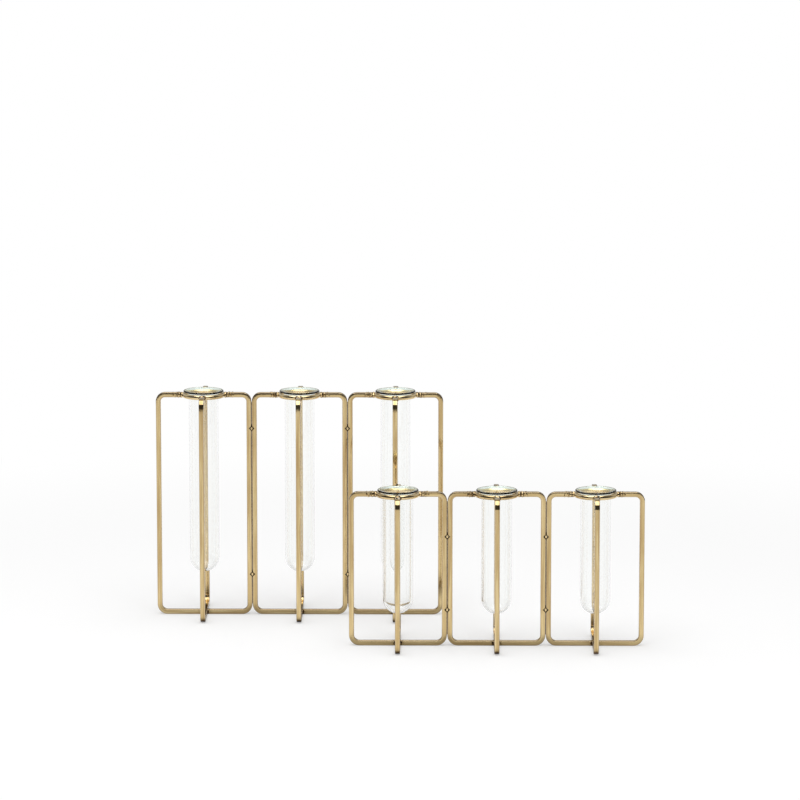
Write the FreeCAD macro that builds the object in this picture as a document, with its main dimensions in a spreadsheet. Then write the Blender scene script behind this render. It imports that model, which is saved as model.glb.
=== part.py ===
import FreeCAD, Part
import math
import os
import Sketcher

# Two free-standing test tube vases of one design, a tall one and a short one, stand as a set.
# Each vase is a row of three bent-bar cells, hinged to each other, and each cell hangs one glass tube.
# X runs along the rows, Y from front to back and Z up. The origin is on the floor, midway between the vases.

os.makedirs("parts", exist_ok=True)
doc = FreeCAD.newDocument("test_tube_vases")

# Driving sizes in millimetres
SIZES = {
    "cell_width": 77.6,
    "tall_height": 184,
    "short_height": 124,
    "bar_side": 4,
    "bar_chamfer": 1.2,
    "bend_radius": 8,
    "hinge_gap": 0.4,
    "set_shift": 159,
    "set_depth": 115,
    "ring_clearance": 2.2,
    "ring_wire": 3.8,
    "weld_reach": 1,
    "weld_overlap": 1.4,
    "weld_rim": 0.5,
    "glass_diameter": 24,
    "glass_wall": 1.2,
    "lip_overhang": 0.15,
    "lip_thickness": 1.5,
    "tall_tube_length": 150,
    "short_tube_length": 100,
    "rest_gap": 0.4,
    "knuckle_diameter": 4.6,
    "knuckle_height": 2.2,
    "knuckle_gap": 0.2,
    "notch_gap": 0.25,
    "pin_diameter": 2,
    "pin_clearance": 0.05,
    "pin_head_diameter": 3.4,
    "pin_head_height": 0.9,
    "tall_lower_hinge": 33.5,
    "tall_upper_hinge_drop": 29.5,
    "short_lower_hinge": 29,
    "short_upper_hinge_drop": 36,
}

# Lengths that follow from the driving sizes, written as expressions of them
OUTER = "Sizes.cell_width / 2"
BAR = "Sizes.bar_side"
INNER = f"({OUTER} - {BAR})"
BEND = "Sizes.bend_radius"
INNER_BEND = f"({BEND} - {BAR})"
PITCH = "(Sizes.cell_width + Sizes.hinge_gap)"
GLASS_RADIUS = "Sizes.glass_diameter / 2"
BORE_RADIUS = f"({GLASS_RADIUS} - Sizes.glass_wall)"
WIRE_RADIUS = "Sizes.ring_wire / 2"
RING_CENTRE_RADIUS = f"({GLASS_RADIUS} + Sizes.ring_clearance + {WIRE_RADIUS})"
RING_RADIUS = f"({RING_CENTRE_RADIUS} + {WIRE_RADIUS})"
RAIL_END = f"({RING_RADIUS} + Sizes.weld_reach)"
LIP_RADIUS = "Sizes.lip_thickness / 2"
LIP_CENTRE_RADIUS = f"({RING_CENTRE_RADIUS} + Sizes.lip_overhang - {LIP_RADIUS})"
FLARE_RADIUS = f"({LIP_CENTRE_RADIUS} - {GLASS_RADIUS})"
MOUTH_RADIUS = f"({LIP_CENTRE_RADIUS} - {BORE_RADIUS})"
KNUCKLE_RADIUS = "Sizes.knuckle_diameter / 2"
KNUCKLE_HEIGHT = "Sizes.knuckle_height"
HALF_KNUCKLE_GAP = "Sizes.knuckle_gap / 2"
NOTCH_RADIUS = f"({KNUCKLE_RADIUS} + Sizes.notch_gap)"
PIN_RADIUS = "Sizes.pin_diameter / 2"
HEAD_SPACE = "(Sizes.knuckle_gap + Sizes.pin_head_height + Sizes.notch_gap)"

# Places as shares: a vase's of half the set's shift and depth, and a cell's of the row's pitch
VASE_PLACE_SHARES = {"tall": -1, "short": 1}
CELL_PLACE_SHARES = {"left": -1, "middle": 0, "right": 1}


def make_sheet():
    """Writes the driving sizes into a spreadsheet, one aliased cell each."""
    cells = doc.addObject("Spreadsheet::Sheet", "Sizes")
    for row, (name, size) in enumerate(SIZES.items(), start=1):
        cells.set(f"A{row}", name)
        cells.set(f"B{row}", str(size))
        cells.setAlias(f"B{row}", name)
    doc.recompute()
    return cells


sheet = make_sheet()


def length(expression):
    """The value of an expression of the sheet's sizes."""
    return float(sheet.evalExpression(expression))


def vector(across, up):
    return FreeCAD.Vector(across, up, 0)


def new_body(name):
    body = doc.addObject("PartDesign::Body", name)
    body.Label = name
    return body


def new_sketch(body, name, plane, offset=None):
    """A sketch on one of the body's own origin planes, moved off it by an expression."""
    sketch = body.newObject("Sketcher::SketchObject", name)
    origin_plane = [item for item in body.Origin.OriginFeatures if item.Role == plane][0]
    sketch.AttachmentSupport = [(origin_plane, "")]
    sketch.MapMode = "FlatFace"
    if offset:
        sketch.setExpression("AttachmentOffset.Base.z", offset)
    return sketch


def bind(sketch, constraint, expression):
    """Adds a constraint to the sketch and ties its value to the sheet."""
    index = sketch.addConstraint(constraint)
    sketch.setExpression(f"Constraints[{index}]", expression)


def fix_across(sketch, number, point, expression):
    """Ties one point's distance from the sketch's upright axis."""
    if length(expression) == 0:
        sketch.addConstraint(Sketcher.Constraint("PointOnObject", number, point, -2))
    else:
        bind(sketch, Sketcher.Constraint("DistanceX", -1, 1, number, point, length(expression)), expression)


def fix_up(sketch, number, point, expression):
    """Ties one point's distance from the sketch's level axis."""
    if length(expression) == 0:
        sketch.addConstraint(Sketcher.Constraint("PointOnObject", number, point, -1))
    else:
        bind(sketch, Sketcher.Constraint("DistanceY", -1, 1, number, point, length(expression)), expression)


def bent_outline(sketch, corners):
    """Closed outline of level and upright lines. A corner is (across, up, radius), or None where it is sharp."""
    points = [vector(length(across), length(up)) for across, up, radius in corners]
    count = len(corners)
    trims = []
    for number, (across, up, radius) in enumerate(corners):
        trim = length(radius) if radius else 0
        before = (points[number - 1] - points[number]).normalize() * trim
        after = (points[(number + 1) % count] - points[number]).normalize() * trim
        trims.append((points[number] + before, points[number] + after))
    for number, (across, up, radius) in enumerate(corners):
        start = trims[number][1]
        end = trims[(number + 1) % count][0]
        sketch.addGeometry(Part.LineSegment(start, end), False)
        if abs(start.y - end.y) < abs(start.x - end.x):
            sketch.addConstraint(Sketcher.Constraint("Horizontal", number))
            fix_up(sketch, number, 1, up)
        else:
            sketch.addConstraint(Sketcher.Constraint("Vertical", number))
            fix_across(sketch, number, 1, across)
    for number, (across, up, radius) in enumerate(corners):
        line_before = (number - 1) % count
        if radius is None:
            sketch.addConstraint(Sketcher.Constraint("Coincident", line_before, 2, number, 1))
            continue
        start, end = trims[number]
        centre = start + end - points[number]
        middle = centre + (points[number] - centre).normalize() * length(radius)
        arc = sketch.addGeometry(Part.Arc(start, middle, end), False)
        to_start = [(sketch.getPoint(arc, point) - start).Length for point in (1, 2)]
        first, last = (1, 2) if to_start[0] < to_start[1] else (2, 1)
        sketch.addConstraint(Sketcher.Constraint("Tangent", line_before, 2, arc, first))
        sketch.addConstraint(Sketcher.Constraint("Tangent", arc, last, number, 1))
        bind(sketch, Sketcher.Constraint("Radius", arc, length(radius)), radius)


def straight_outline(sketch, corners, closed=True):
    """Outline of straight lines from corner to corner. A corner is (across, up)."""
    points = [vector(length(across), length(up)) for across, up in corners]
    sides = len(corners) if closed else len(corners) - 1
    for number in range(sides):
        sketch.addGeometry(Part.LineSegment(points[number], points[(number + 1) % len(corners)]), False)
        fix_across(sketch, number, 1, corners[number][0])
        fix_up(sketch, number, 1, corners[number][1])
        if number:
            sketch.addConstraint(Sketcher.Constraint("Coincident", number - 1, 2, number, 1))
    if closed:
        sketch.addConstraint(Sketcher.Constraint("Coincident", sides - 1, 2, 0, 1))
    else:
        fix_across(sketch, sides - 1, 2, corners[-1][0])
        fix_up(sketch, sides - 1, 2, corners[-1][1])


def circle(sketch, across, radius):
    """A circle centred on the sketch's level axis."""
    centre = vector(length(across), 0)
    normal = FreeCAD.Vector(0, 0, 1)
    number = sketch.addGeometry(Part.Circle(centre, normal, length(radius)), False)
    bind(sketch, Sketcher.Constraint("Radius", number, length(radius)), radius)
    sketch.addConstraint(Sketcher.Constraint("PointOnObject", number, 3, -1))
    fix_across(sketch, number, 3, across)


def pad(body, sketch, name, thickness, both_ways=False):
    feature = body.newObject("PartDesign::Pad", name)
    feature.Profile = sketch
    feature.setExpression("Length", thickness)
    feature.Midplane = both_ways
    doc.recompute()
    return feature


def revolve(body, sketch, name):
    """Turns the sketch all the way round its upright axis."""
    feature = body.newObject("PartDesign::Revolution", name)
    feature.Profile = sketch
    feature.ReferenceAxis = (sketch, ["V_Axis"])
    doc.recompute()
    return feature


def break_long_edges(body, bar, axis):
    """Breaks the long edges of a bar that was padded both ways along the given axis."""
    half = length(BAR) / 2
    names = []
    for number, edge in enumerate(bar.Shape.Edges, start=1):
        low = getattr(edge.BoundBox, f"{axis}Min")
        high = getattr(edge.BoundBox, f"{axis}Max")
        if high - low < half:
            names.append((f"Edge{number}", edge.Length))
    chamfer = body.newObject("PartDesign::Chamfer", f"{body.Name}_broken_edges")
    chamfer.Base = (bar, [name for name, edge_length in names if edge_length > half])
    chamfer.setExpression("Size", "Sizes.bar_chamfer")
    doc.recompute()


def hinge_heights(vase):
    """Heights of the two hinges of a joint."""
    return {
        "lower": f"Sizes.{vase}_lower_hinge",
        "upper": f"(Sizes.{vase}_height - Sizes.{vase}_upper_hinge_drop)",
    }


def notch(body, name, sides, low, height, radius):
    """Cuts an upright round notch, centred on the hinge line, into the bars on the given sides."""
    volume = body.Shape.Volume
    sketch = new_sketch(body, f"{name}_sketch", "XY_Plane", low)
    for side in sides:
        circle(sketch, f"{side} * {PITCH} / 2", radius)
    pocket = body.newObject("PartDesign::Pocket", name)
    pocket.Profile = sketch
    pocket.setExpression("Length", height)
    pocket.Reversed = True
    doc.recompute()
    if body.Shape.Volume >= volume:
        raise ValueError(f"{name} cuts nothing")


def cut_notches(body, vase, cell):
    """Close seats for the knuckles brazed to this bar, and clear notches for its neighbour's."""
    sides = [-1, 1] if cell == "middle" else [-CELL_PLACE_SHARES[cell]]
    for place, height in hinge_heights(vase).items():
        name = f"{body.Name}_{place}"
        low_knuckle = f"{height} - {HALF_KNUCKLE_GAP} - {KNUCKLE_HEIGHT}"
        high_knuckle = f"{height} + {HALF_KNUCKLE_GAP}"
        if cell == "middle":
            clear_low = f"{height} - {HALF_KNUCKLE_GAP}"
            clear_height = f"Sizes.knuckle_gap + {KNUCKLE_HEIGHT} + {HEAD_SPACE}"
            notch(body, f"{name}_seat", sides, low_knuckle, KNUCKLE_HEIGHT, KNUCKLE_RADIUS)
            notch(body, f"{name}_clearance", sides, clear_low, clear_height, NOTCH_RADIUS)
        else:
            clear_low = f"{low_knuckle} - Sizes.notch_gap"
            clear_height = f"Sizes.notch_gap + {KNUCKLE_HEIGHT} + Sizes.knuckle_gap"
            head_low = f"{high_knuckle} + {KNUCKLE_HEIGHT}"
            notch(body, f"{name}_clearance", sides, clear_low, clear_height, NOTCH_RADIUS)
            notch(body, f"{name}_seat", sides, high_knuckle, KNUCKLE_HEIGHT, KNUCKLE_RADIUS)
            notch(body, f"{name}_head_room", sides, head_low, HEAD_SPACE, NOTCH_RADIUS)


def ring_height(vase):
    """Height of the ring's wire centre, at the middle of the top rails."""
    return f"(Sizes.{vase}_height - {BAR} / 2)"


def make_side_loop(name, vase, cell):
    """Square bar bent into an upright loop along the row. Its two top ends stop at the ring's welds."""
    body = new_body(name)
    top = f"Sizes.{vase}_height"
    under_top = f"({top} - {BAR})"
    sketch = new_sketch(body, f"{name}_outline", "XZ_Plane")
    bent_outline(sketch, [
        (f"-{RAIL_END}", top, None),
        (f"-{OUTER}", top, BEND),
        (f"-{OUTER}", "0", BEND),
        (OUTER, "0", BEND),
        (OUTER, top, BEND),
        (RAIL_END, top, None),
        (RAIL_END, under_top, None),
        (INNER, under_top, INNER_BEND),
        (INNER, BAR, INNER_BEND),
        (f"-{INNER}", BAR, INNER_BEND),
        (f"-{INNER}", under_top, INNER_BEND),
        (f"-{RAIL_END}", under_top, None),
    ])
    bar = pad(body, sketch, f"{name}_bar", BAR, True)
    break_long_edges(body, bar, "Y")
    cut_notches(body, vase, cell)
    return body


def make_arm(name, vase):
    """Square bar bent into half a loop across the row, from the ring down to the side loop's floor rail."""
    body = new_body(name)
    top = f"Sizes.{vase}_height"
    under_top = f"({top} - {BAR})"
    sketch = new_sketch(body, f"{name}_outline", "YZ_Plane")
    bent_outline(sketch, [
        (f"-{RAIL_END}", top, None),
        (f"-{OUTER}", top, BEND),
        (f"-{OUTER}", "0", BEND),
        (f"-{BAR} / 2", "0", None),
        (f"-{BAR} / 2", BAR, None),
        (f"-{INNER}", BAR, INNER_BEND),
        (f"-{INNER}", under_top, INNER_BEND),
        (f"-{RAIL_END}", under_top, None),
    ])
    bar = pad(body, sketch, f"{name}_bar", BAR, True)
    break_long_edges(body, bar, "X")
    return body


def make_collar(name, vase):
    """Wire ring level with the top rails, with a weld towards each of the four rail ends."""
    body = new_body(name)
    height = ring_height(vase)
    wire_sketch = new_sketch(body, f"{name}_wire", "XZ_Plane")
    corners = []
    for angle in range(0, 360, 45):
        across = f"{RING_CENTRE_RADIUS} + {WIRE_RADIUS} * cos({angle} + 22.5) / cos(22.5)"
        up = f"{height} + {WIRE_RADIUS} * sin({angle} + 22.5) / cos(22.5)"
        corners.append((across, up))
    straight_outline(wire_sketch, corners)
    revolve(body, wire_sketch, f"{name}_ring")
    weld_sketch = new_sketch(body, f"{name}_weld_sketch", "YZ_Plane", f"{RING_RADIUS} - Sizes.weld_overlap")
    half = f"({BAR} / 2 + Sizes.weld_rim)"
    broken = f"({half} - Sizes.bar_chamfer)"
    straight_outline(weld_sketch, [
        (half, f"{height} - {broken}"),
        (half, f"{height} + {broken}"),
        (broken, f"{height} + {half}"),
        (f"-{broken}", f"{height} + {half}"),
        (f"-{half}", f"{height} + {broken}"),
        (f"-{half}", f"{height} - {broken}"),
        (f"-{broken}", f"{height} - {half}"),
        (broken, f"{height} - {half}"),
    ])
    weld = pad(body, weld_sketch, f"{name}_weld", "Sizes.weld_overlap + Sizes.weld_reach")
    welds = body.newObject("PartDesign::PolarPattern", f"{name}_welds")
    welds.Originals = [weld]
    welds.Axis = (wire_sketch, ["V_Axis"])
    welds.Occurrences = 4
    body.Tip = welds
    doc.recompute()
    return body


def make_tube(name, vase):
    """Glass tube with a round bottom and a flared lip that hangs over the ring."""
    body = new_body(name)
    total = f"Sizes.{vase}_tube_length"
    lip_foot = f"({total} - Sizes.lip_thickness)"
    flare_foot = f"({lip_foot} - {FLARE_RADIUS})"
    mouth_foot = f"({total} - {MOUTH_RADIUS})"
    sketch = new_sketch(body, f"{name}_profile", "XZ_Plane")
    straight_outline(sketch, [
        (GLASS_RADIUS, GLASS_RADIUS),
        (GLASS_RADIUS, flare_foot),
        (f"{LIP_CENTRE_RADIUS} - {FLARE_RADIUS} * cos(45)", f"{flare_foot} + {FLARE_RADIUS} * sin(45)"),
        (LIP_CENTRE_RADIUS, lip_foot),
        (f"{LIP_CENTRE_RADIUS} + {LIP_RADIUS}", f"{lip_foot} + {LIP_RADIUS}"),
        (LIP_CENTRE_RADIUS, total),
        (f"{LIP_CENTRE_RADIUS} - {MOUTH_RADIUS} * cos(45)", f"{mouth_foot} + {MOUTH_RADIUS} * sin(45)"),
        (BORE_RADIUS, mouth_foot),
        (BORE_RADIUS, GLASS_RADIUS),
        (f"{BORE_RADIUS} * cos(30)", f"{GLASS_RADIUS} - {BORE_RADIUS} * sin(30)"),
        (f"{BORE_RADIUS} * cos(60)", f"{GLASS_RADIUS} - {BORE_RADIUS} * sin(60)"),
        ("0", "Sizes.glass_wall"),
        ("0", "0"),
    ], closed=False)
    last_line = sketch.GeometryCount - 1
    radius = length(GLASS_RADIUS)
    quarter = math.pi / 2
    whole = Part.Circle(vector(0, radius), FreeCAD.Vector(0, 0, 1), radius)
    bottom = sketch.addGeometry(Part.ArcOfCircle(whole, -quarter, 0), False)
    sketch.addConstraint(Sketcher.Constraint("Coincident", last_line, 2, bottom, 1))
    sketch.addConstraint(Sketcher.Constraint("Coincident", bottom, 2, 0, 1))
    bind(sketch, Sketcher.Constraint("Radius", bottom, radius), GLASS_RADIUS)
    revolve(body, sketch, f"{name}_glass")
    return body


def repeat_up(body, feature, vase):
    """Repeats a feature of the lower hinge at the upper one."""
    heights = hinge_heights(vase)
    pattern = body.newObject("PartDesign::LinearPattern", f"{body.Name}_pair")
    pattern.Originals = [feature]
    upright = [item for item in body.Origin.OriginFeatures if item.Role == "Z_Axis"][0]
    pattern.Direction = (upright, [""])
    pattern.setExpression("Length", f"{heights['upper']} - {heights['lower']}")
    pattern.Occurrences = 2
    body.Tip = pattern
    doc.recompute()


def make_knuckles(name, vase, low, bore_radius):
    """The same short barrel at both hinges of a joint, with its foot at the given height."""
    body = new_body(name)
    sketch = new_sketch(body, f"{name}_sketch", "XY_Plane", low)
    circle(sketch, "0", KNUCKLE_RADIUS)
    circle(sketch, "0", bore_radius)
    knuckle = pad(body, sketch, f"{name}_barrel", KNUCKLE_HEIGHT)
    repeat_up(body, knuckle, vase)
    return body


def make_pins(name, vase):
    """Two headed pins, brazed into the lower knuckles, that the upper knuckles turn on."""
    body = new_body(name)
    height = hinge_heights(vase)["lower"]
    foot = f"({height} - {HALF_KNUCKLE_GAP} - {KNUCKLE_HEIGHT})"
    head_foot = f"({height} + {HALF_KNUCKLE_GAP} + {KNUCKLE_HEIGHT} + Sizes.knuckle_gap)"
    head_radius = "Sizes.pin_head_diameter / 2"
    head_top = f"{head_foot} + Sizes.pin_head_height"
    sketch = new_sketch(body, f"{name}_profile", "XZ_Plane")
    straight_outline(sketch, [
        ("0", foot),
        (PIN_RADIUS, foot),
        (PIN_RADIUS, head_foot),
        (head_radius, head_foot),
        (head_radius, head_top),
        ("0", head_top),
    ])
    pin = revolve(body, sketch, f"{name}_pin")
    repeat_up(body, pin, vase)
    return body


def place(body, vase, cells_along, up=None, turned=0):
    """Puts a sub-part at its place in the row, counted in cells from the middle one."""
    side = VASE_PLACE_SHARES[vase]
    body.Placement.Rotation = FreeCAD.Rotation(FreeCAD.Vector(0, 0, 1), turned)
    body.setExpression("Placement.Base.x", f"{side} * Sizes.set_shift / 2 + {cells_along} * {PITCH}")
    body.setExpression("Placement.Base.y", f"{-side} * Sizes.set_depth / 2")
    if up:
        body.setExpression("Placement.Base.z", up)
    subparts.append(body)


def make_cell(vase, cell):
    """One cell: the loop along the row, the two arms across it, the ring and the tube."""
    name = f"{vase}_{cell}"
    along = CELL_PLACE_SHARES[cell]
    place(make_side_loop(f"{name}_side_loop", vase, cell), vase, along)
    place(make_arm(f"{name}_front_arm", vase), vase, along)
    place(make_arm(f"{name}_back_arm", vase), vase, along, turned=180)
    place(make_collar(f"{name}_collar", vase), vase, along)
    ring_top = f"{ring_height(vase)} + {WIRE_RADIUS}"
    tube_foot = f"{ring_top} + Sizes.rest_gap + Sizes.lip_thickness - Sizes.{vase}_tube_length"
    place(make_tube(f"{name}_tube", vase), vase, along, up=tube_foot)


def make_joint(vase, cell):
    """The two hinges between an outer cell and the middle one."""
    name = f"{vase}_{cell}_hinge"
    along = CELL_PLACE_SHARES[cell] / 2
    height = hinge_heights(vase)["lower"]
    low_foot = f"{height} - {HALF_KNUCKLE_GAP} - {KNUCKLE_HEIGHT}"
    high_foot = f"{height} + {HALF_KNUCKLE_GAP}"
    running_radius = f"{PIN_RADIUS} + Sizes.pin_clearance"
    place(make_knuckles(f"{name}_lower_knuckles", vase, low_foot, PIN_RADIUS), vase, along)
    place(make_knuckles(f"{name}_upper_knuckles", vase, high_foot, running_radius), vase, along)
    place(make_pins(f"{name}_pins", vase), vase, along)


def check_and_export():
    """Stops if anything failed to build, then writes each sub-part's file."""
    doc.recompute()
    for item in doc.Objects:
        if "Invalid" in item.State or "Error" in item.State:
            raise ValueError(f"{item.Name} did not build")
    for body in subparts:
        if body.Shape.isNull() or not body.Shape.isValid():
            raise ValueError(f"{body.Label} has no valid shape")
    for body in subparts:
        body.Shape.exportStep(f"parts/{body.Label}.step")
        print(body.Label, "solids", len(body.Shape.Solids), "volume", round(body.Shape.Volume, 1))


subparts = []
for vase in VASE_PLACE_SHARES:
    for cell in CELL_PLACE_SHARES:
        make_cell(vase, cell)
    make_joint(vase, "left")
    make_joint(vase, "right")
check_and_export()
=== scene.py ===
import math

import bmesh
import bpy
import numpy as np
from mathutils import Matrix, Vector


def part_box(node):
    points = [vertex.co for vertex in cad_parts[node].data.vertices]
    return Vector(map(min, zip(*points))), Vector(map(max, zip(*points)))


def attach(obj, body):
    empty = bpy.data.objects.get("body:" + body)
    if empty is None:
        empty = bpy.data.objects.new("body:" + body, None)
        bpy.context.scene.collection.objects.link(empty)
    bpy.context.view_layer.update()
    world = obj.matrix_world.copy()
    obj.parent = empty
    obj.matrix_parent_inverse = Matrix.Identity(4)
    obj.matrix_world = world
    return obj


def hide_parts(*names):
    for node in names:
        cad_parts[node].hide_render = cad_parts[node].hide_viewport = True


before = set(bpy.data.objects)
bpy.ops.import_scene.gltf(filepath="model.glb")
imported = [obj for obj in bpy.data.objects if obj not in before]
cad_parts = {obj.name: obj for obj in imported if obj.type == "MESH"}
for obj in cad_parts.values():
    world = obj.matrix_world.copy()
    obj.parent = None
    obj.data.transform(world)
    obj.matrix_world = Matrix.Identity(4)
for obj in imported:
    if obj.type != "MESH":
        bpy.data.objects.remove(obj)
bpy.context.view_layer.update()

vases = ("tall", "short")
cells = ("left", "middle", "right")
print("frame loaded:", len(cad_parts), "CAD nodes")


# a small kit for node trees

class Socket:
    def __init__(self, bench, socket):
        self.bench = bench
        self.socket = socket

    def maths(self, operation, *values):
        return self.bench.add("ShaderNodeMath", {"operation": operation}, dict(enumerate(values)))

    def out(self, name):                       # another output of the same node
        return Socket(self.bench, self.socket.node.outputs[name])

    def __add__(self, other):
        return self.maths("ADD", self, other)

    def __radd__(self, other):
        return self.maths("ADD", other, self)

    def __sub__(self, other):
        return self.maths("SUBTRACT", self, other)

    def __rsub__(self, other):
        return self.maths("SUBTRACT", other, self)

    def __mul__(self, other):
        return self.maths("MULTIPLY", self, other)

    def __rmul__(self, other):
        return self.maths("MULTIPLY", other, self)

    def __truediv__(self, other):
        return self.maths("DIVIDE", self, other)


class Bench:
    def __init__(self, tree):
        self.tree = tree

    def add(self, kind, settings=None, values=None, output=0):
        node = self.tree.nodes.new(kind)
        for name, setting in (settings or {}).items():
            setattr(node, name, setting)
        for name, value in (values or {}).items():
            for item in value if isinstance(value, list) else [value]:
                if isinstance(item, Socket):
                    self.tree.links.new(item.socket, node.inputs[name])
                else:
                    node.inputs[name].default_value = item
        return Socket(self, node.outputs[output]) if node.outputs else node

    def mixColour(self, share, first, second, blend="MIX"):
        settings = {"data_type": "RGBA", "blend_type": blend}
        return self.add("ShaderNodeMix", settings, {0: share, 6: first, 7: second}, 2)

    def soften(self, value, low, high):        # smooth step from 0 at low to 1 at high
        values = {"Value": value, "From Min": low, "From Max": high}
        return self.add("ShaderNodeMapRange", {"interpolation_type": "SMOOTHSTEP"}, values)

    def noise(self, place, scale, detail=2.0, roughness=0.5):
        return self.add("ShaderNodeTexNoise", {}, {
            "Vector": place, "Scale": scale, "Detail": detail, "Roughness": roughness})


def newMaterial(name):
    material = bpy.data.materials.new(name)
    material.use_nodes = True
    material.node_tree.nodes.clear()
    return material, Bench(material.node_tree)


def srgb(red, green, blue):                    # a colour as read off a screen, 0 to 255, made linear
    linear = [(value / 255) ** 2.2 for value in (red, green, blue)]
    return (*linear, 1)


# finishes

brassLook = {
    "base": srgb(204, 178, 128),
    "light": srgb(232, 209, 158),
    "dark": srgb(176, 146, 98),
    # edge: a painted reflection tone for the bars' rounded edges
    "edge": srgb(197, 177, 148),
    # heat tint near brazing; the same colour also paints shade in the hollows, along the joints and on the barrels
    "heatAndShade": srgb(84, 56, 26),
}
pattern = {
    "streaks": 900, "bands": 420, "broad": 38, "fine": 900,    # how fine each kind of marking is
    "stretch": 0.03,                           # the drawn lines' scale along the bar
    "edgeReflectionFrom": 0.0031, "edgeReflectionTo": 0.0036,      # where the rounded edges get their painted reflection tone: both distances from the axis, summed
    "bumpDepth": 0.0002,
}


def makeBrass(name, look, roughness, edgeShare, scorchAndShadeShare, bumpStrength):
    material, bench = newMaterial(name)
    place = bench.add("ShaderNodeAttribute", {"attribute_name": "barPlace"}, output="Vector")
    heatAndShade = bench.add("ShaderNodeAttribute", {"attribute_name": "tarnishAndShade"}, output="Fac")
    spot = bench.add("ShaderNodeTexCoord", {}, output="Object")
    along = bench.add("ShaderNodeMapping", {}, {"Vector": place, "Scale": (1, 1, pattern["stretch"])})
    streaks = bench.noise(along, pattern["streaks"], 3, 0.6)
    bands = bench.noise(along, pattern["bands"], 1)
    broad = bench.noise(spot, pattern["broad"], 2)
    fine = bench.noise(spot, pattern["fine"], 3)
    section = bench.add("ShaderNodeSeparateXYZ", {}, {"Vector": place})
    corner = section.maths("ABSOLUTE", section) + section.maths("ABSOLUTE", section.out("Y"))
    # the rounded edges get a painted reflection tone
    paintedEdgeReflection = bench.soften(corner, pattern["edgeReflectionFrom"], pattern["edgeReflectionTo"])
    tone = bench.mixColour(bench.soften(streaks, 0.4, 0.66), look["base"], look["light"])
    tone = bench.mixColour(bench.soften(bands, 0.5, 0.66) * 0.6, tone, look["dark"])
    tone = bench.mixColour(bench.soften(broad, 0.45, 0.75) * 0.35, tone, look["dark"])
    tone = bench.mixColour(paintedEdgeReflection * edgeShare, tone, look["edge"])
    # the tint attribute darkens: heat tint near brazing, and painted shade in hollows, along joints and round a
    # barrel's painted highlight
    scorchAndShade = bench.soften(heatAndShade + (fine - 0.5) * 0.9, 0.25, 1.0) * scorchAndShadeShare
    tone = bench.mixColour(scorchAndShade, tone, look["heatAndShade"])
    rough = roughness + (streaks - 0.5) * 0.12 + (fine - 0.5) * 0.06 + scorchAndShade * 0.15
    height = streaks * 0.6 + fine * 0.4
    bump = bench.add("ShaderNodeBump", {}, {
        "Strength": bumpStrength, "Distance": pattern["bumpDepth"], "Height": height})
    shader = bench.add("ShaderNodeBsdfPrincipled", {}, {
        "Base Color": tone, "Metallic": 1.0, "Roughness": rough, "Normal": bump})
    bench.add("ShaderNodeOutputMaterial", {}, {"Surface": shader})
    return material


def makeGlass(name):
    material, bench = newMaterial(name)
    spot = bench.add("ShaderNodeTexCoord", {}, output="Object")
    drawn = bench.add("ShaderNodeMapping", {}, {"Vector": spot, "Scale": (1, 1, 0.15)})
    waves = bench.noise(drawn, 70, 1)
    bump = bench.add("ShaderNodeBump", {}, {
        "Strength": 0.04, "Distance": pattern["bumpDepth"], "Height": waves})
    rim = bench.add("ShaderNodeAttribute", {"attribute_name": "rim"}, output="Fac")
    tone = bench.mixColour(rim, (0.985, 0.99, 0.985, 1), (0.8, 0.9, 0.84, 1))
    shader = bench.add("ShaderNodeBsdfPrincipled", {}, {
        "Base Color": tone, "Roughness": 0.0, "Transmission Weight": 1.0, "IOR": 1.5,
        "Specular IOR Level": 0.25, "Normal": bump})
    bench.add("ShaderNodeOutputMaterial", {}, {"Surface": shader})
    return material


# a lighter copy of the brass for the polished wire, welds and hinges: the lighter colour paints a brighter reflection
brightLook = {**brassLook, "base": srgb(232, 205, 154), "light": srgb(250, 228, 182)}
barBrass = makeBrass("satinBarBrass", brassLook, 0.1, 0.6, 0.85, 0.25)
wireBrass = makeBrass("polishedWireBrass", brightLook, 0.07, 0.0, 0.6, 0.1)
weldBrass = makeBrass("weldedBrass", brightLook, 0.08, 0.0, 0.95, 0.3)
# the hinges' darker heat colour paints shade on the barrels
hingeBrass = makeBrass("hingeBrass", {**brightLook, "heatAndShade": srgb(56, 36, 16)}, 0.12, 0.0, 1.0, 0.2)
tubeGlass = makeGlass("clearTubeGlass")
print("materials ready")


# node trees that make the repeated forms

def newTree(name, sizes):
    tree = bpy.data.node_groups.new(name, "GeometryNodeTree")
    tree.interface.new_socket("Geometry", in_out="INPUT", socket_type="NodeSocketGeometry")
    for label, kind in sizes.items():
        tree.interface.new_socket(label, in_out="INPUT", socket_type=f"NodeSocket{kind}")
    tree.interface.new_socket("Geometry", in_out="OUTPUT", socket_type="NodeSocketGeometry")
    bench = Bench(tree)
    return tree, bench, bench.add("NodeGroupInput", {}, output="Geometry")


def closeTree(bench, geometry, material):      # the last nodes of every tree
    solid = bench.add("GeometryNodeRealizeInstances", {}, {"Geometry": geometry})
    dressed = bench.add("GeometryNodeSetMaterial", {}, {"Geometry": solid, "Material": material})
    bench.add("NodeGroupOutput", {}, {"Geometry": dressed})


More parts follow.
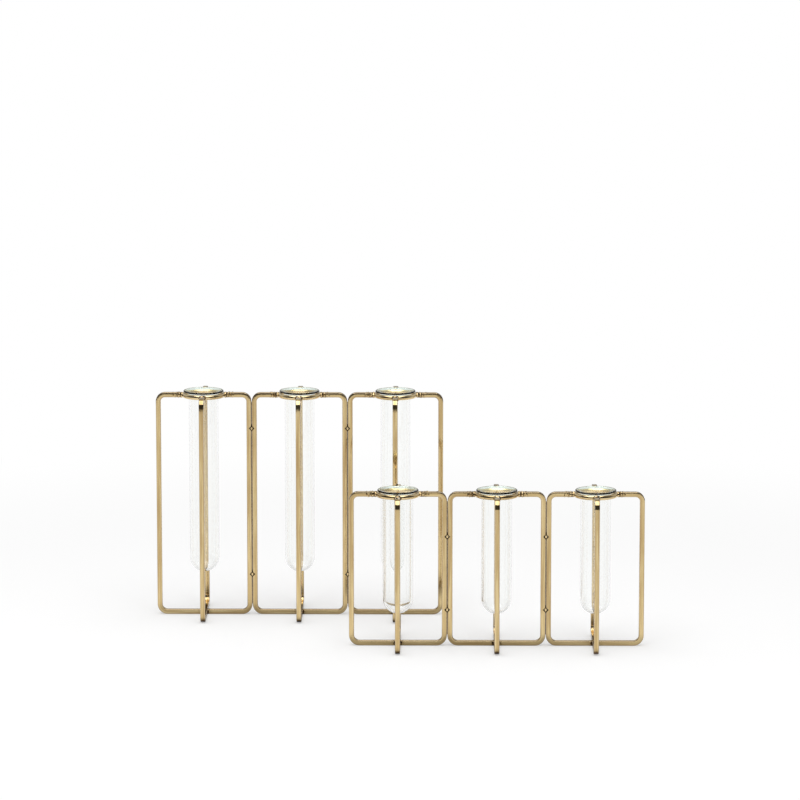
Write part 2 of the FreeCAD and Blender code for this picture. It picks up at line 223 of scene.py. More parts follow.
def makeSweepTree():
    tree, bench, paths = newTree("sweptBar", {
        "Bar side": "Float", "Edge radius": "Float", "Top bend": "Float", "Bottom bend": "Float",
        "Bend level": "Float", "Step": "Float", "Seed": "Float", "Material": "Material"})
    size = paths.out
    position = bench.add("GeometryNodeInputPosition")
    height = bench.add("ShaderNodeSeparateXYZ", {}, {"Vector": position}, "Z")
    isTop = height.maths("GREATER_THAN", height, size("Bend level"))
    bend = size("Bottom bend") + isTop * (size("Top bend") - size("Bottom bend"))
    curve = bench.add("GeometryNodeMeshToCurve", {}, {"Mesh": paths})
    curve = bench.add("GeometryNodeFilletCurve", {"mode": "POLY"}, {
        "Curve": curve, "Count": 11, "Radius": bend, "Limit Radius": True})
    index = bench.add("GeometryNodeInputIndex")
    following = bench.add("GeometryNodeFieldAtIndex", {"data_type": "FLOAT_VECTOR", "domain": "POINT"}, {
        "Value": position, "Index": index + 1})
    stretch = bench.add("ShaderNodeVectorMath", {"operation": "DISTANCE"}, {0: position, 1: following}, "Value")
    cuts = (stretch / size("Step")).maths("FLOOR", stretch / size("Step"))
    curve = bench.add("GeometryNodeSubdivideCurve", {}, {"Curve": curve, "Cuts": cuts})
    facing = bench.add("GeometryNodeInputNamedAttribute", {"data_type": "FLOAT_VECTOR"}, {"Name": "acrossPlane"})
    curve = bench.add("GeometryNodeSetCurveNormal", {"mode": "FREE"}, {"Curve": curve, "Normal": facing})
    travelled = bench.add("GeometryNodeSplineParameter", {}, output="Length")
    curve = bench.add("GeometryNodeStoreNamedAttribute", {"data_type": "FLOAT", "domain": "POINT"}, {
        "Geometry": curve, "Name": "travelled", "Value": travelled})
    section = bench.add("GeometryNodeCurvePrimitiveQuadrilateral", {}, {
        "Width": size("Bar side"), "Height": size("Bar side")})
    section = bench.add("GeometryNodeFilletCurve", {"mode": "POLY"}, {
        "Curve": section, "Count": 5, "Radius": size("Edge radius"), "Limit Radius": True})
    section = bench.add("GeometryNodeStoreNamedAttribute", {"data_type": "FLOAT_VECTOR", "domain": "POINT"}, {
        "Geometry": section, "Name": "sectionPlace", "Value": position})
    bar = bench.add("GeometryNodeCurveToMesh", {}, {"Curve": curve, "Profile Curve": section, "Fill Caps": True})
    around = bench.add("GeometryNodeInputNamedAttribute", {"data_type": "FLOAT_VECTOR"}, {"Name": "sectionPlace"})
    distance = bench.add("GeometryNodeInputNamedAttribute", {"data_type": "FLOAT"}, {"Name": "travelled"})
    parts = bench.add("ShaderNodeSeparateXYZ", {}, {"Vector": around})
    place = bench.add("ShaderNodeCombineXYZ", {}, {
        "X": parts, "Y": parts.out("Y"), "Z": distance + size("Seed")})
    bar = bench.add("GeometryNodeStoreNamedAttribute", {"data_type": "FLOAT_VECTOR", "domain": "POINT"}, {
        "Geometry": bar, "Name": "barPlace", "Value": place})
    closeTree(bench, bar, size("Material"))
    return tree


def makeBeadTree():
    tree, bench, points = newTree("brazeBeads", {
        "Roundness": "Int", "Ripple": "Float", "Ripple size": "Float", "Seed": "Float", "Material": "Material"})
    size = points.out
    bead = bench.add("GeometryNodeMeshIcoSphere", {}, {"Radius": 1.0, "Subdivisions": size("Roundness")})
    reach = bench.add("GeometryNodeInputNamedAttribute", {"data_type": "FLOAT_VECTOR"}, {"Name": "beadSize"})
    turn = bench.add("GeometryNodeInputNamedAttribute", {"data_type": "FLOAT_VECTOR"}, {"Name": "beadTurn"})
    turned = bench.add("FunctionNodeEulerToRotation", {}, {"Euler": turn})
    beads = bench.add("GeometryNodeInstanceOnPoints", {}, {
        "Points": points, "Instance": bead, "Rotation": turned, "Scale": reach})
    beads = bench.add("GeometryNodeRealizeInstances", {}, {"Geometry": beads})
    position = bench.add("GeometryNodeInputPosition")
    normal = bench.add("GeometryNodeInputNormal")
    wander = bench.add("ShaderNodeTexNoise", {"noise_dimensions": "4D"}, {
        "Vector": position, "W": size("Seed"), "Scale": size("Ripple size"), "Detail": 2.0})
    offset = bench.add("ShaderNodeVectorMath", {"operation": "SCALE"}, {
        0: normal, "Scale": (wander - 0.5) * size("Ripple")})
    beads = bench.add("GeometryNodeSetPosition", {}, {"Geometry": beads, "Offset": offset})
    closeTree(bench, beads, size("Material"))
    return tree


def makeStackTree():
    tree, bench, shape = newTree("repeatedUp", {
        "Count": "Int", "Spacing": "Float", "Material": "Material"})
    size = shape.out
    rise = bench.add("ShaderNodeCombineXYZ", {}, {"Z": size("Spacing")})
    line = bench.add("GeometryNodeMeshLine", {}, {"Count": size("Count"), "Offset": rise})
    copies = bench.add("GeometryNodeInstanceOnPoints", {}, {"Points": line, "Instance": shape})
    closeTree(bench, copies, size("Material"))
    return tree


sweepTree = makeSweepTree()
beadTree = makeBeadTree()
stackTree = makeStackTree()


def newObject(name, mesh):
    piece = bpy.data.objects.new(name, mesh)
    bpy.context.scene.collection.objects.link(piece)
    return piece


def grow(name, mesh, tree, sizes, extra=()):
    seed = newObject(f"{name}_seed", mesh)
    modifier = seed.modifiers.new(tree.name, "NODES")
    modifier.node_group = tree
    for item in tree.interface.items_tree:
        if item.in_out == "INPUT" and item.name in sizes:
            modifier[item.identifier] = sizes[item.name]
    for operation, tool in extra:              # closed shapes joined to the grown one or cut away from it
        step = seed.modifiers.new("step", "BOOLEAN")
        step.operation = operation
        step.solver = "EXACT"
        step.object = tool
    grown = bpy.data.meshes.new_from_object(seed.evaluated_get(bpy.context.evaluated_depsgraph_get()))
    grown.name = name
    bpy.data.objects.remove(seed)
    for operation, tool in extra:
        bpy.data.objects.remove(tool)
    return newObject(name, grown)


def smooth(piece, angle=38):
    mesh = piece.data
    mesh.polygons.foreach_set("use_smooth", [True] * len(mesh.polygons))
    mesh.set_sharp_from_angle(angle=math.radians(angle))
    return piece


# how dark the tint gets: heat tint near brazing, and painted shade in the hollows, along the joints and on the
# barrels
tarnishAndShade = {
    "brazed": 1.2, "hollow": 1.3, "joint": 0.55, "weld": 0.4,  # how dark each kind of place gets
    "hollowReach": 0.0028, "hollowFoot": -0.0027, "hollowHead": 0.0037,
    "jointReach": 0.00048, "skin": 0.00002,    # faces nearer to the bar's front or back than this get no painted shade
    # a painted highlight on the middle of a barrel's front, with painted shade round it
    "highlightWide": 0.001, "highlightHigh": 0.0012, "highlightShare": 0.7, "highlightFade": 3,
}


def markHeatAndShade(piece, spots):                    # darkens a piece near given spots, as (point, reach): heat tint by brazed places, and painted shade at the tips of the arms' feet
    mesh = piece.data
    places = np.empty(len(mesh.vertices) * 3)
    mesh.vertices.foreach_get("co", places)
    places = places.reshape(-1, 3)
    heatAndShade = np.zeros(len(places))
    for point, reach in spots:
        distance = np.linalg.norm(places - np.array(point), axis=1)
        heatAndShade = np.maximum(heatAndShade, tarnishAndShade["brazed"] * np.exp(-(distance / reach) ** 2))
    attribute = mesh.attributes.get("tarnishAndShade") or mesh.attributes.new("tarnishAndShade", "FLOAT", "POINT")
    attribute.data.foreach_set("value", heatAndShade.astype(np.float32))


def markRecess(piece, axes, y, side):          # paints shade into the hollows round the barrels and along the joint itself
    mesh = piece.data
    heatAndShade = [item.value for item in mesh.attributes["tarnishAndShade"].data]
    corners = [heatAndShade[loop.vertex_index] for loop in mesh.loops]
    for face in mesh.polygons:
        spot = face.center
        if abs(spot.y - y) > side / 2 - tarnishAndShade["skin"]:
            continue
        for hx, hy, level in axes:
            lift = spot.z - level
            inSpan = tarnishAndShade["hollowFoot"] < lift < tarnishAndShade["hollowHead"]
            hollow = inSpan and math.hypot(spot.x - hx, spot.y - hy) < tarnishAndShade["hollowReach"]
            if hollow or abs(spot.x - hx) < tarnishAndShade["jointReach"]:
                for number in face.loop_indices:
                    corners[number] = tarnishAndShade["hollow"] if hollow else tarnishAndShade["joint"]
    mesh.attributes.remove(mesh.attributes["tarnishAndShade"])
    mesh.attributes.new("tarnishAndShade", "FLOAT", "CORNER").data.foreach_set("value", corners)


def markBarrel(piece, x, levels):              # a barrel gets painted shade but for the middle of its front, which stays as a painted highlight
    mesh = piece.data
    heatAndShade = []
    for vertex in mesh.vertices:
        lift = min(abs(vertex.co.z - level) for level in levels)
        share = math.hypot((vertex.co.x - x) / tarnishAndShade["highlightWide"], lift / tarnishAndShade["highlightHigh"])
        dark = (share - tarnishAndShade["highlightShare"]) * tarnishAndShade["highlightFade"]
        heatAndShade.append(max(0.0, min(tarnishAndShade["hollow"], dark)))
    mesh.attributes.new("tarnishAndShade", "FLOAT", "POINT").data.foreach_set("value", heatAndShade)


upright = {
    "foot": 0.0086, "head": 0.0076, "aside": 0.02,             # where the uprights run between their bends
    "sampleFrom": 0.012, "sampleTo": 0.024,    # an uncut stretch, from which the pattern's places are worked out
}


def fillPlaces(piece, x, top):                 # carries the drawn pattern over the cut faces of the uprights
    mesh = piece.data
    count = len(mesh.vertices)
    spots, drawn = np.empty(count * 3), np.empty(count * 3)
    mesh.vertices.foreach_get("co", spots)
    mesh.attributes["barPlace"].data.foreach_get("vector", drawn)
    spots, drawn = spots.reshape(-1, 3), drawn.reshape(-1, 3)
    height = spots[:, 2]
    known = np.abs(drawn).sum(axis=1) > 1e-7
    straight = (height > upright["foot"]) & (height < top - upright["head"])
    for way in (-1, 1):
        near = straight & ((spots[:, 0] - x) * way > upright["aside"])
        clear = near & known & (height > upright["sampleFrom"]) & (height < upright["sampleTo"])
        rows = np.hstack([spots, np.ones((count, 1))])
        fit = np.linalg.lstsq(rows[clear], drawn[clear], rcond=None)[0]
        drawn[near] = rows[near] @ fit
    mesh.attributes["barPlace"].data.foreach_set("vector", drawn.astype(np.float32).ravel())


def pathMesh(name, chains):                    # chains are (points, normal of the bend's plane, closed)
    points, edges, normals = [], [], []
    for chain, normal, closed in chains:
        first = len(points)
        points += chain
        normals += [normal] * len(chain)
        edges += [(number, number + 1) for number in range(first, len(points) - 1)]
        if closed:
            edges.append((len(points) - 1, first))
    mesh = bpy.data.meshes.new(name)
    mesh.from_pydata(points, edges, [])
    attribute = mesh.attributes.new("acrossPlane", "FLOAT_VECTOR", "POINT")
    attribute.data.foreach_set("vector", [value for normal in normals for value in normal])
    return mesh


def pointMesh(name, beads):                    # beads are (place, size, turn)
    mesh = bpy.data.meshes.new(name)
    mesh.from_pydata([place for place, size, turn in beads], [], [])
    for label, column in (("beadSize", 1), ("beadTurn", 2)):
        attribute = mesh.attributes.new(label, "FLOAT_VECTOR", "POINT")
        attribute.data.foreach_set("vector", [value for bead in beads for value in bead[column]])
    return mesh


def lathe(name, profile, place, steps):        # turns (radius, height) points about an upright axis
    form = bmesh.new()
    rings = []
    for radius, height in profile:
        if radius < 1e-7:
            rings.append([form.verts.new((place[0], place[1], place[2] + height))])
            continue
        ring = []
        for step in range(steps):
            angle = 2 * math.pi * step / steps
            ring.append(form.verts.new((
                place[0] + radius * math.cos(angle), place[1] + radius * math.sin(angle), place[2] + height)))
        rings.append(ring)
    pairs = list(zip(rings, rings[1:]))
    if len(rings[0]) > 1:
        pairs.append((rings[-1], rings[0]))
    for lower, upper in pairs:
        for step in range(steps):
            follow = (step + 1) % steps
            if len(lower) == 1 and len(upper) > 1:
                form.faces.new((lower[0], upper[follow], upper[step]))
            elif len(upper) == 1 and len(lower) > 1:
                form.faces.new((lower[step], lower[follow], upper[0]))
            elif len(lower) > 1:
                form.faces.new((lower[step], lower[follow], upper[follow], upper[step]))
    bmesh.ops.recalc_face_normals(form, faces=form.faces)
    mesh = bpy.data.meshes.new(name)
    form.to_mesh(mesh)
    form.free()
    return mesh


def arc(centre, radius, start, end, count):    # points of an arc, angles in degrees
    angles = [math.radians(start + (end - start) * number / count) for number in range(count + 1)]
    return [(centre[0] + radius * math.cos(angle), centre[1] + radius * math.sin(angle)) for angle in angles]


# where each cell stands, read from the CAD boxes

def cellPlace(vase, cell):
    low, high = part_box(f"{vase}_{cell}_side_loop")
    return {
        "x": (low.x + high.x) / 2, "y": (low.y + high.y) / 2,
        "half": (high.x - low.x) / 2, "top": high.z, "bar": high.y - low.y}


places = {(vase, cell): cellPlace(vase, cell) for vase in vases for cell in cells}


def hingePlaces(vase, side):                   # the axis of a joint and the middle height of its two hinges
    low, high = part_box(f"{vase}_{side}_hinge_lower_knuckles")
    x = (low.x + high.x) / 2
    y = (low.y + high.y) / 2
    lift = hinge["height"] + hinge["gap"] / 2
    return x, y, (low.z + lift, high.z + hinge["gap"] / 2)


# hinges

hinge = {
    "radius": 0.0016, "endRadius": 0.0012, "height": 0.0022, "gap": 0.0002, "taper": 3.0,
    "pinRadius": 0.0008, "headRadius": 0.0012, "headHeight": 0.0008, "recessGap": 0.0002,
    "mouth": 0.0024, "throat": 0.0017,         # half sizes of the four-sided countersinks round a barrel
    "seat": 0.0004, "overrun": 0.0002,         # where a countersink ends, and how far its tool runs past both ends
}


def barrelHalf(way, spare=0.0):                # outline of one tapered barrel, from the joint plane outwards
    points = []
    for number in range(11):
        share = number / 10
        radius = hinge["radius"] - (hinge["radius"] - hinge["endRadius"]) * share ** hinge["taper"]
        points.append((radius + spare, way * (hinge["gap"] / 2 + hinge["height"] * share)))
    if spare:                                  # a hollow runs from the joint plane to just past the barrel
        points[0] = (points[0][0], 0.0)
        points.append((points[-1][0], points[-1][1] + way * spare))
    return points


def barrelProfile(way, bore):
    outer = barrelHalf(way)
    ring = [(bore, outer[0][1])] + outer + [(bore, outer[-1][1])]
    return ring if way > 0 else ring[::-1]


def recessProfile():
    spare = hinge["recessGap"]
    top = hinge["gap"] * 1.5 + hinge["height"] + hinge["headHeight"] + spare
    head = hinge["headRadius"] + spare
    upper, lower = barrelHalf(1, spare), barrelHalf(-1, spare)
    return [(0, lower[-1][1])] + lower[::-1] + upper[1:] + [(head, upper[-1][1]), (head, top), (0, top)]


def makeHinge(vase, side):
    x, y, (lower, upper) = hingePlaces(vase, side)
    name = f"{vase}_{side}_hinge"
    spacing = upper - lower
    half = hinge["gap"] / 2
    stack = {"Count": 2, "Spacing": spacing, "Material": hingeBrass}
    lowerFoot = -half - hinge["height"]
    profiles = {
        "lowerBarrels": (barrelProfile(-1, hinge["pinRadius"]), "middle", "lower_knuckles"),
        "upperBarrels": (barrelProfile(1, hinge["pinRadius"] * 1.05), side, "upper_knuckles"),
    }
    headFoot = half + hinge["height"] + hinge["gap"]
    headTop = headFoot + hinge["headHeight"]
    dome = arc((hinge["headRadius"] - 0.0005, headTop - 0.0005), 0.0005, 0, 90, 4)
    pin = [(0, lowerFoot), (hinge["pinRadius"] * 0.98, lowerFoot), (hinge["pinRadius"] * 0.98, headFoot),
           (hinge["headRadius"], headFoot)] + dome + [(0, headTop)]
    profiles["pins"] = (pin, "middle", "pins")
    for label, (profile, cell, node) in profiles.items():
        mesh = lathe(f"{name}_{label}", profile, (0, 0, 0), 64)
        piece = grow(f"{name}_{label}", mesh, stackTree, stack)
        piece.data.transform(Matrix.Translation((x, y, lower)))
        smooth(piece)
        markBarrel(piece, x, (lower, upper))
        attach(piece, f"{vase}_{cell}_frame")
        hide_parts(f"{name}_{node}")


def makeRecesses(name, axes):                  # close-fitting hollows in a bar, where the barrels sit
    form = bmesh.new()
    for number, axis in enumerate(axes):
        mesh = lathe(f"{name}_{number}", recessProfile(), axis, 48)
        form.from_mesh(mesh)
        bpy.data.meshes.remove(mesh)
    mesh = bpy.data.meshes.new(name)
    form.to_mesh(mesh)
    form.free()
    return newObject(name, mesh)


def makeCountersinks(name, axes, side):        # four-sided hollows that open to the front and the back
    form = bmesh.new()
    over = hinge["overrun"]
    depth = side / 2 - hinge["seat"]
    slope = (hinge["mouth"] - hinge["throat"]) / (depth - over)
    for x, y, level in axes:
        for way in (-1, 1):
            turned = Matrix.Rotation(math.radians(90 * way), 4, "X")
            place = Matrix.Translation((x, y + way * (hinge["seat"] + depth / 2 + over), level))
            bmesh.ops.create_cone(
                form, cap_ends=True, segments=4, radius1=hinge["mouth"] + slope * over,
                radius2=hinge["throat"] - slope * over, depth=depth + 2 * over, matrix=place @ turned)
    mesh = bpy.data.meshes.new(name)
    form.to_mesh(mesh)
    form.free()
    return newObject(name, mesh)


def makePrisms(name, joints, x, sections, low, high):  # upright prisms on (distance from the joint, place across it)
    form = bmesh.new()
    for hx, hy in joints:
        way = 1 if hx > x else -1
        for section in sections:
            rows = [[form.verts.new((hx - way * near, hy + across, level)) for near, across in section]
                    for level in (low, high)]
            for number in range(len(section)):
                follow = (number + 1) % len(section)
                form.faces.new((rows[0][number], rows[0][follow], rows[1][follow], rows[1][number]))
            for row in rows:
                form.faces.new(row)
    bmesh.ops.recalc_face_normals(form, faces=form.faces)
    mesh = bpy.data.meshes.new(name)
    form.to_mesh(mesh)
    form.free()
    return newObject(name, mesh)


for vase in vases:
    for side in ("left", "right"):
        makeHinge(vase, side)
print("hinges ready")


# bars

bar = {
    "edgeRadius": 0.0005, "topBend": 0.0074, "bottomBend": 0.0084, "step": 0.004, "railEnd": 0.0176,
    "bite": 0.0002,                            # how far an arm's foot runs into the floor rail
    "tipBack": 0.0036, "tipLevel": 0.0006,     # the middle of the painted shade at the tip of an arm's foot
    "tipShade": 0.0044, "loopHeat": 0.0052, "armHeat": 0.004, "crossingHeat": 0.0048,
}
joint = {                                      # faces where two cells meet: (distance from the joint, place across)
    "ridge": [(0.0006, -0.00085), (0.00023, -0.00085), (0.00002, -0.00005),
              (0.00002, 0.00005), (0.00023, 0.00085), (0.0006, 0.00085)],
    "slope": [(0.000216, 0.0009), (0.000585, 0.0025), (-0.0005, 0.0025), (-0.0005, 0.0009)],
    "ridgeFoot": 0.0088, "ridgeHead": 0.0078, "overrun": 0.002,
}


def makeBars(vase, cell, seed):
    spot = places[vase, cell]
    x, y, top, side = spot["x"], spot["y"], spot["top"], spot["bar"]
    reach = spot["half"] - side / 2
    high, low = top - side / 2, side / 2
    end = bar["railEnd"]
    sizes = {
        "Bar side": side, "Edge radius": bar["edgeRadius"], "Top bend": bar["topBend"] - side / 2,
        "Bottom bend": bar["bottomBend"] - side / 2, "Bend level": top / 2, "Step": bar["step"],
        "Material": barBrass}
    outline = [(-end, high), (-reach, high), (-reach, low), (reach, low), (reach, high), (end, high)]
    loop = [(x + across, y, up) for across, up in outline]
    armOutline = [(end, high), (reach, high), (reach, low), (side / 2 - bar["bite"], low)]
    arms = [[(x, y + way * across, up) for across, up in armOutline] for way in (-1, 1)]
    tip = reach + side / 2 - bar["tipBack"]
    # painted shade at the tip of each arm's foot, standing for the contact shadow that its lower bend reflects
    darkSpots = [((x, y + way * tip, bar["tipLevel"]), bar["tipShade"]) for way in (-1, 1)]
    darkSpots += [((x + way * end, y, high), bar["loopHeat"]) for way in (-1, 1)]
    darkSpots += [((x, y + way * end, high), bar["armHeat"]) for way in (-1, 1)]
    darkSpots.append(((x, y, low), bar["crossingHeat"]))

    axes = []
    for hingeSide in ("left", "right"):
        if cell in ("middle", hingeSide):
            hx, hy, levels = hingePlaces(vase, hingeSide)
            axes += [(hx, hy, level) for level in levels]
    joints = sorted({(axis[0], axis[1]) for axis in axes})
    name = f"{vase}_{cell}"
    slopes = [[(near, way * across) for near, across in joint["slope"]] for way in (-1, 1)]
    over = joint["overrun"]
    ridges = makePrisms(f"{name}_ridge", joints, x, [joint["ridge"]], joint["ridgeFoot"], top - joint["ridgeHead"])
    shaping = [("UNION", ridges),
               ("DIFFERENCE", makePrisms(f"{name}_slopes", joints, x, slopes, -over, top + over)),
               ("DIFFERENCE", makeRecesses(f"{name}_recesses", axes)),
               ("DIFFERENCE", makeCountersinks(f"{name}_countersinks", axes, side))]
    pieces = {
        "Loop": grow(f"{vase}_{cell}_barLoop", pathMesh("loopPath", [(loop, (0, 1, 0), False)]),
                     sweepTree, {**sizes, "Seed": seed}, shaping),
        "Arms": grow(f"{vase}_{cell}_barArms", pathMesh("armPaths", [(arm, (1, 0, 0), False) for arm in arms]),
                     sweepTree, {**sizes, "Seed": seed + 0.9}),
    }
    for label, piece in pieces.items():
        smooth(piece)
        markHeatAndShade(piece, darkSpots)
        if label == "Loop":
            markRecess(piece, axes, y, side)
            fillPlaces(piece, x, top)
        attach(piece, f"{vase}_{cell}_frame")
    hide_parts(f"{vase}_{cell}_side_loop")
    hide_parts(f"{vase}_{cell}_front_arm", f"{vase}_{cell}_back_arm")


# rings and their welds

ring = {
    "radius": 0.0161, "wire": 0.0038, "weldReach": 0.0186,
    "grooves": (0.0189, 0.0212, 0.023, 0.0248), "grooveWidth": 0.0005,
    "sideLump": (0.0015, 0.0013, 0.0017), "floorLump": (0.0015, 0.0012, 0.0018),
    "wireHeat": 0.003, "weldHeat": 0.0011, "floorHeat": 0.012,
}


def markGrooves(piece, x, y):                  # darker along the grooves between the lumps of a weld
    mesh = piece.data
    heatAndShade = np.empty(len(mesh.vertices))
    mesh.attributes["tarnishAndShade"].data.foreach_get("value", heatAndShade)
    for number, vertex in enumerate(mesh.vertices):
        out = math.hypot(vertex.co.x - x, vertex.co.y - y)
        near = min(abs(out - groove) for groove in ring["grooves"])
        heatAndShade[number] = max(heatAndShade[number], tarnishAndShade["weld"], math.exp(-(near / ring["grooveWidth"]) ** 2))
    mesh.attributes["tarnishAndShade"].data.foreach_set("value", heatAndShade.astype(np.float32))


def makeRing(vase, cell, seed):
    spot = places[vase, cell]
    x, y, level = spot["x"], spot["y"], spot["top"] - spot["bar"] / 2
    angles = [math.radians(angle) for angle in range(0, 360, 3)]
    circle = [(x + ring["radius"] * math.cos(angle), y + ring["radius"] * math.sin(angle), level) for angle in angles]
    sizes = {
        "Bar side": ring["wire"], "Edge radius": ring["wire"] * 0.4999, "Top bend": 0.0, "Bottom bend": 0.0,
        "Bend level": 0.0, "Step": 1.0, "Seed": seed + 1.7, "Material": wireBrass}
    path = pathMesh("ringPath", [(circle, (0, 0, 1), True)])
    wire = smooth(grow(f"{vase}_{cell}_ringWire", path, sweepTree, sizes))
    beads, darkSpots = [], []
    for number in range(4):
        turn = math.radians(90 * number)
        out = Vector((math.cos(turn), math.sin(turn), 0))
        across = Vector((-math.sin(turn), math.cos(turn), 0))
        darkSpots.append((Vector((x, y, level)) + out * ring["weldReach"], ring["wireHeat"]))
        wobble = [math.sin(seed * 7 + number * 2.3 + extra) for extra in (0, 1.1, 2.9, 4.2)]
        join = Vector((x, y, level)) + out * (ring["weldReach"] - 0.0009)
        beads += [
            (join, (0.0019, 0.0025, 0.0024), (0, 0, turn)),
            (join + across * 0.0018 + out * 0.0003 * wobble[0], ring["sideLump"], (0, 0, turn + 0.5)),
            (join - across * 0.0018 + out * 0.0003 * wobble[1], ring["sideLump"], (0, 0, turn - 0.5)),
            (join + out * 0.0024, (0.0012, 0.0027, 0.00255), (0, 0.35 * wobble[1], turn + 0.35 * wobble[3])),
            (join + out * (0.0043 + 0.0004 * wobble[2]), (0.0009, 0.0026, 0.0025),
             (0, 0.4 * wobble[0], turn + 0.4 * wobble[2])),
            (join + out * (0.0061 + 0.0004 * wobble[3]), (0.0009, 0.00255, 0.0025),
             (0, 0.4 * wobble[2], turn + 0.4 * wobble[1])),
        ]
    beadSizes = {"Roundness": 4, "Ripple": 0.0013, "Ripple size": 430.0, "Seed": seed, "Material": weldBrass}
    welds = smooth(grow(f"{vase}_{cell}_ringWelds", pointMesh("weldPoints", beads), beadTree, beadSizes), 80)
    for piece in (wire, welds):
        markHeatAndShade(piece, darkSpots if piece is wire else [(point, ring["weldHeat"]) for point, reach in darkSpots])
        if piece is welds:
            markGrooves(piece, x, y)
        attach(piece, f"{vase}_{cell}_frame")
        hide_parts(f"{vase}_{cell}_collar")

    side = spot["bar"]
    corners = [(x + across * side / 2, y + away * side / 2, side / 2) for across in (-1, 1) for away in (-1, 1)]
    fillets = [(corner, ring["floorLump"], (0, 0, 0.6 * number)) for number, corner in enumerate(corners)]
    floorBeads = grow(f"{vase}_{cell}_floorBraze", pointMesh("brazePoints", fillets), beadTree,
                      {**beadSizes, "Ripple": 0.0006, "Seed": seed + 3})
    smooth(floorBeads, 80)
    markHeatAndShade(floorBeads, [((x, y, side / 2), ring["floorHeat"])])
    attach(floorBeads, f"{vase}_{cell}_frame")


# glass tubes

glass = {
    "radius": 0.012, "wall": 0.0012, "lipCentre": 0.0155, "lipRadius": 0.00075, "steps": 96,
    "tintDepth": 0.0022, "tintFade": 0.0008,   # the green at the lip
}


def makeTube(vase, cell):
    low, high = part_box(f"{vase}_{cell}_tube")
    x, y, total = (low.x + high.x) / 2, (low.y + high.y) / 2, high.z - low.z
    radius, bore = glass["radius"], glass["radius"] - glass["wall"]
    lipFoot = total - 2 * glass["lipRadius"]
    flare = glass["lipCentre"] - radius
    mouth = glass["lipCentre"] - bore
    profile = [(0, 0)] + arc((0, radius), radius, -90, 0, 18)[1:]
    profile += arc((glass["lipCentre"], lipFoot - flare), flare, 180, 90, 12)
    profile += arc((glass["lipCentre"], lipFoot + glass["lipRadius"]), glass["lipRadius"], -90, 90, 10)[1:]
    profile += arc((glass["lipCentre"], total - mouth), mouth, 90, 180, 14)[1:]
    profile += arc((0, radius), bore, 0, -90, 16)[:-1] + [(0, radius - bore)]
    mesh = lathe(f"{vase}_{cell}_glassTube", profile, (x, y, low.z), glass["steps"])
    tube = newObject(f"{vase}_{cell}_glassTube", mesh)
    tube.data.materials.append(tubeGlass)
    smooth(tube, 60)
    rim = tube.data.attributes.new("rim", "FLOAT", "POINT")
    tintFoot = high.z - glass["tintDepth"]
    levels = [max(0.0, min(1.0, (vertex.co.z - tintFoot) / glass["tintFade"])) for vertex in tube.data.vertices]
    rim.data.foreach_set("value", levels)
    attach(tube, f"{vase}_{cell}_glass")
    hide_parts(f"{vase}_{cell}_tube")


for number, (vase, cell) in enumerate(places):
    makeBars(vase, cell, number * 2.1)
    makeRing(vase, cell, number * 2.1)
    makeTube(vase, cell)
    print("cell ready:", vase, cell)


# floor, light and camera

stage = {
    "floorHalf": 12.0, "nearGlow": 0.35, "floorTone": 0.9,
    "mirrorNear": 0.9, "mirrorFar": 0.08,      # how bright metal sees the floor, near by and further off
    "railShade": 0.5,                          # floor tone that the rails' faces see close by
    "glassSide": 0.45,                         # how much darker glass sees what lies far to either side
    "mirrorFront": 0.05, "mirrorBack": 0.5,    # how bright metal sees the room, in front and behind
    "glowSpan": (0.3, 0.85), "mirrorSpan": (0.1, 0.35), "fadeSpan": (1.2, 1.6), "sideSpan": (0.9, 1.4),
    "railAlong": (0.115, 0.13), "railAcross": (0.022, 0.05),   # how far the rails' shade reaches
    "backSpan": (-0.2, 0.3), "riseSpan": (0.01, 0.08), "edgeSpan": (0.5, 0.8), "diffuseRoom": 0.62,
}


def makeFloorMaterial():
    material, bench = newMaterial("paleFloor")
    spot = bench.add("ShaderNodeTexCoord", {}, output="Object")
    distance = bench.add("ShaderNodeVectorMath", {"operation": "LENGTH"}, {0: spot}, "Value")
    far = bench.soften(distance, *stage["glowSpan"])
    rays = bench.add("ShaderNodeLightPath", {}, output="Is Camera Ray")
    through = rays.out("Is Transmission Ray")
    mirrored = rays.out("Is Glossy Ray") * (1 - through)
    plain = rays + through
    share = plain * (stage["nearGlow"] + (1 - stage["nearGlow"]) * far)
    share = share + mirrored * bench.soften(distance, *stage["mirrorSpan"])
    fade = bench.soften(distance, *stage["fadeSpan"])
    level = stage["mirrorNear"] + fade * (stage["mirrorFar"] - stage["mirrorNear"])
    aside = bench.add("ShaderNodeSeparateXYZ", {}, {"Vector": spot})
    aside = bench.soften(aside.maths("ABSOLUTE", aside), *stage["sideSpan"])
    level = 1 - mirrored + mirrored * level - through * aside * stage["glassSide"]
    shade = 0
    for vase in vases:
        spotX, spotY = places[vase, "middle"]["x"], places[vase, "middle"]["y"]
        along = bench.add("ShaderNodeSeparateXYZ", {}, {"Vector": spot})
        across = (along.out("Y") - spotY).maths("ABSOLUTE", along.out("Y") - spotY)
        along = (along - spotX).maths("ABSOLUTE", along - spotX)
        inRow = 1 - bench.soften(along, *stage["railAlong"])
        shade = inRow * (1 - bench.soften(across, *stage["railAcross"])) + shade
    paleTone, railTone = ((stage[label],) * 3 + (1,) for label in ("floorTone", "railShade"))
    tone = bench.mixColour(shade * mirrored, paleTone, railTone)
    lit = bench.add("ShaderNodeBsdfDiffuse", {}, {"Color": tone})
    glow = bench.add("ShaderNodeEmission", {}, {"Color": (1, 1, 1, 1), "Strength": level})
    mixed = bench.add("ShaderNodeMixShader", {}, {0: share, 1: lit, 2: glow})
    bench.add("ShaderNodeOutputMaterial", {}, {"Surface": mixed})
    return material


half = stage["floorHalf"]
floorMesh = bpy.data.meshes.new("floor")
floorCorners = [(-half, -half, 0), (half, -half, 0), (half, half, 0), (-half, half, 0)]
floorMesh.from_pydata(floorCorners, [], [(0, 1, 2, 3)])
floor = newObject("floor", floorMesh)
floor.data.materials.append(makeFloorMaterial())


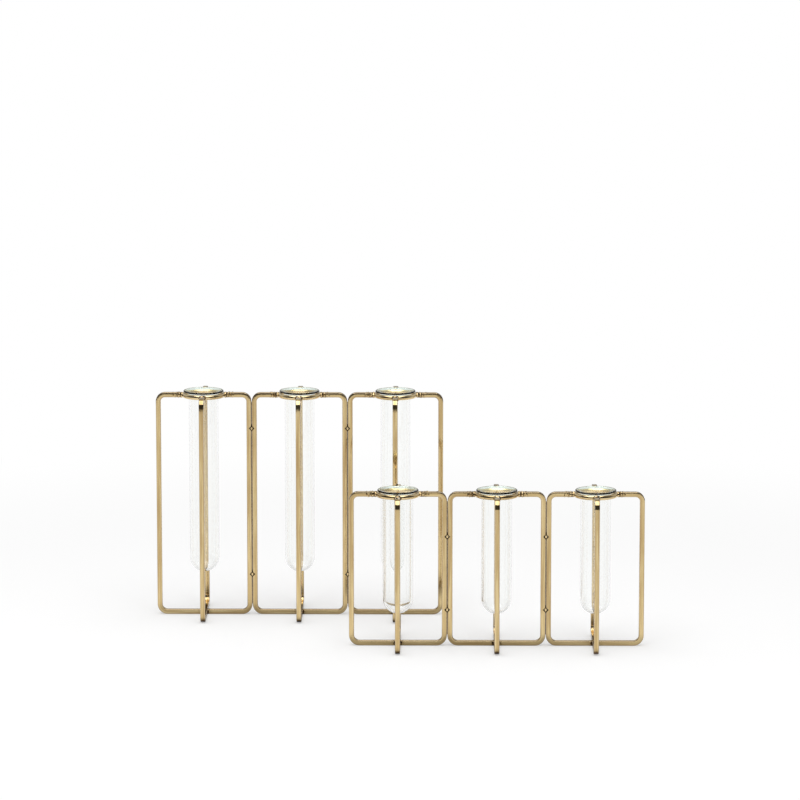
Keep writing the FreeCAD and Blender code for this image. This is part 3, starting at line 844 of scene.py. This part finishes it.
def makeWorld():
    world = bpy.data.worlds.new("studio")
    bpy.context.scene.world = world
    world.use_nodes = True
    world.node_tree.nodes.clear()
    bench = Bench(world.node_tree)
    away = bench.add("ShaderNodeTexCoord", {}, output="Generated")
    parts = bench.add("ShaderNodeSeparateXYZ", {}, {"Vector": away})
    forward = parts.out("Y")
    up = parts.out("Z")
    back = bench.soften(forward, *stage["backSpan"])
    room = stage["mirrorFront"] + back * (stage["mirrorBack"] - stage["mirrorFront"])
    above = bench.soften(up, *stage["riseSpan"])
    rays = bench.add("ShaderNodeLightPath", {}, output="Is Camera Ray")
    mirrored = rays.out("Is Glossy Ray")
    through = rays.out("Is Transmission Ray")
    clear = rays + through
    aside = bench.soften(parts.maths("ABSOLUTE", parts), *stage["edgeSpan"])
    studio = stage["mirrorFar"] + above * (room - stage["mirrorFar"])
    seen = mirrored * studio + (1 - mirrored) * stage["diffuseRoom"]
    level = clear - through * aside * stage["glassSide"] + (1 - clear) * seen
    background = bench.add("ShaderNodeBackground", {}, {"Color": (1, 1, 1, 1), "Strength": level})
    bench.add("ShaderNodeOutputWorld", {}, {"Surface": background})


makeWorld()


def addLamp(name, place, target, width, depth, power):
    light = bpy.data.lights.new(name, "AREA")
    light.shape = "RECTANGLE"
    light.size = width
    light.size_y = depth
    light.energy = power
    lamp = bpy.data.objects.new(name, light)
    bpy.context.scene.collection.objects.link(lamp)
    lamp.location = place
    lamp.rotation_euler = (Vector(target) - Vector(place)).to_track_quat("-Z", "Y").to_euler()


addLamp("overheadSoftbox", (-0.1, -0.46, 1.68), (-0.1, -0.46, 0), 1.6, 1.8, 21)

view = {"place": (0.0315, -3.4425, 0.767), "pitch": 9.59, "turn": 0.48, "lens": 196.56, "shiftUp": 0.00325}
cameraData = bpy.data.cameras.new("camera")
cameraData.sensor_width = 36
cameraData.lens = view["lens"]
cameraData.shift_y = view["shiftUp"]
cameraData.clip_end = 60
camera = bpy.data.objects.new("camera", cameraData)
bpy.context.scene.collection.objects.link(camera)
camera.location = view["place"]
camera.rotation_euler = (math.radians(90 - view["pitch"]), 0, math.radians(view["turn"]))
bpy.context.scene.camera = camera
bpy.context.scene.view_settings.view_transform = "Standard"
print("stage ready")
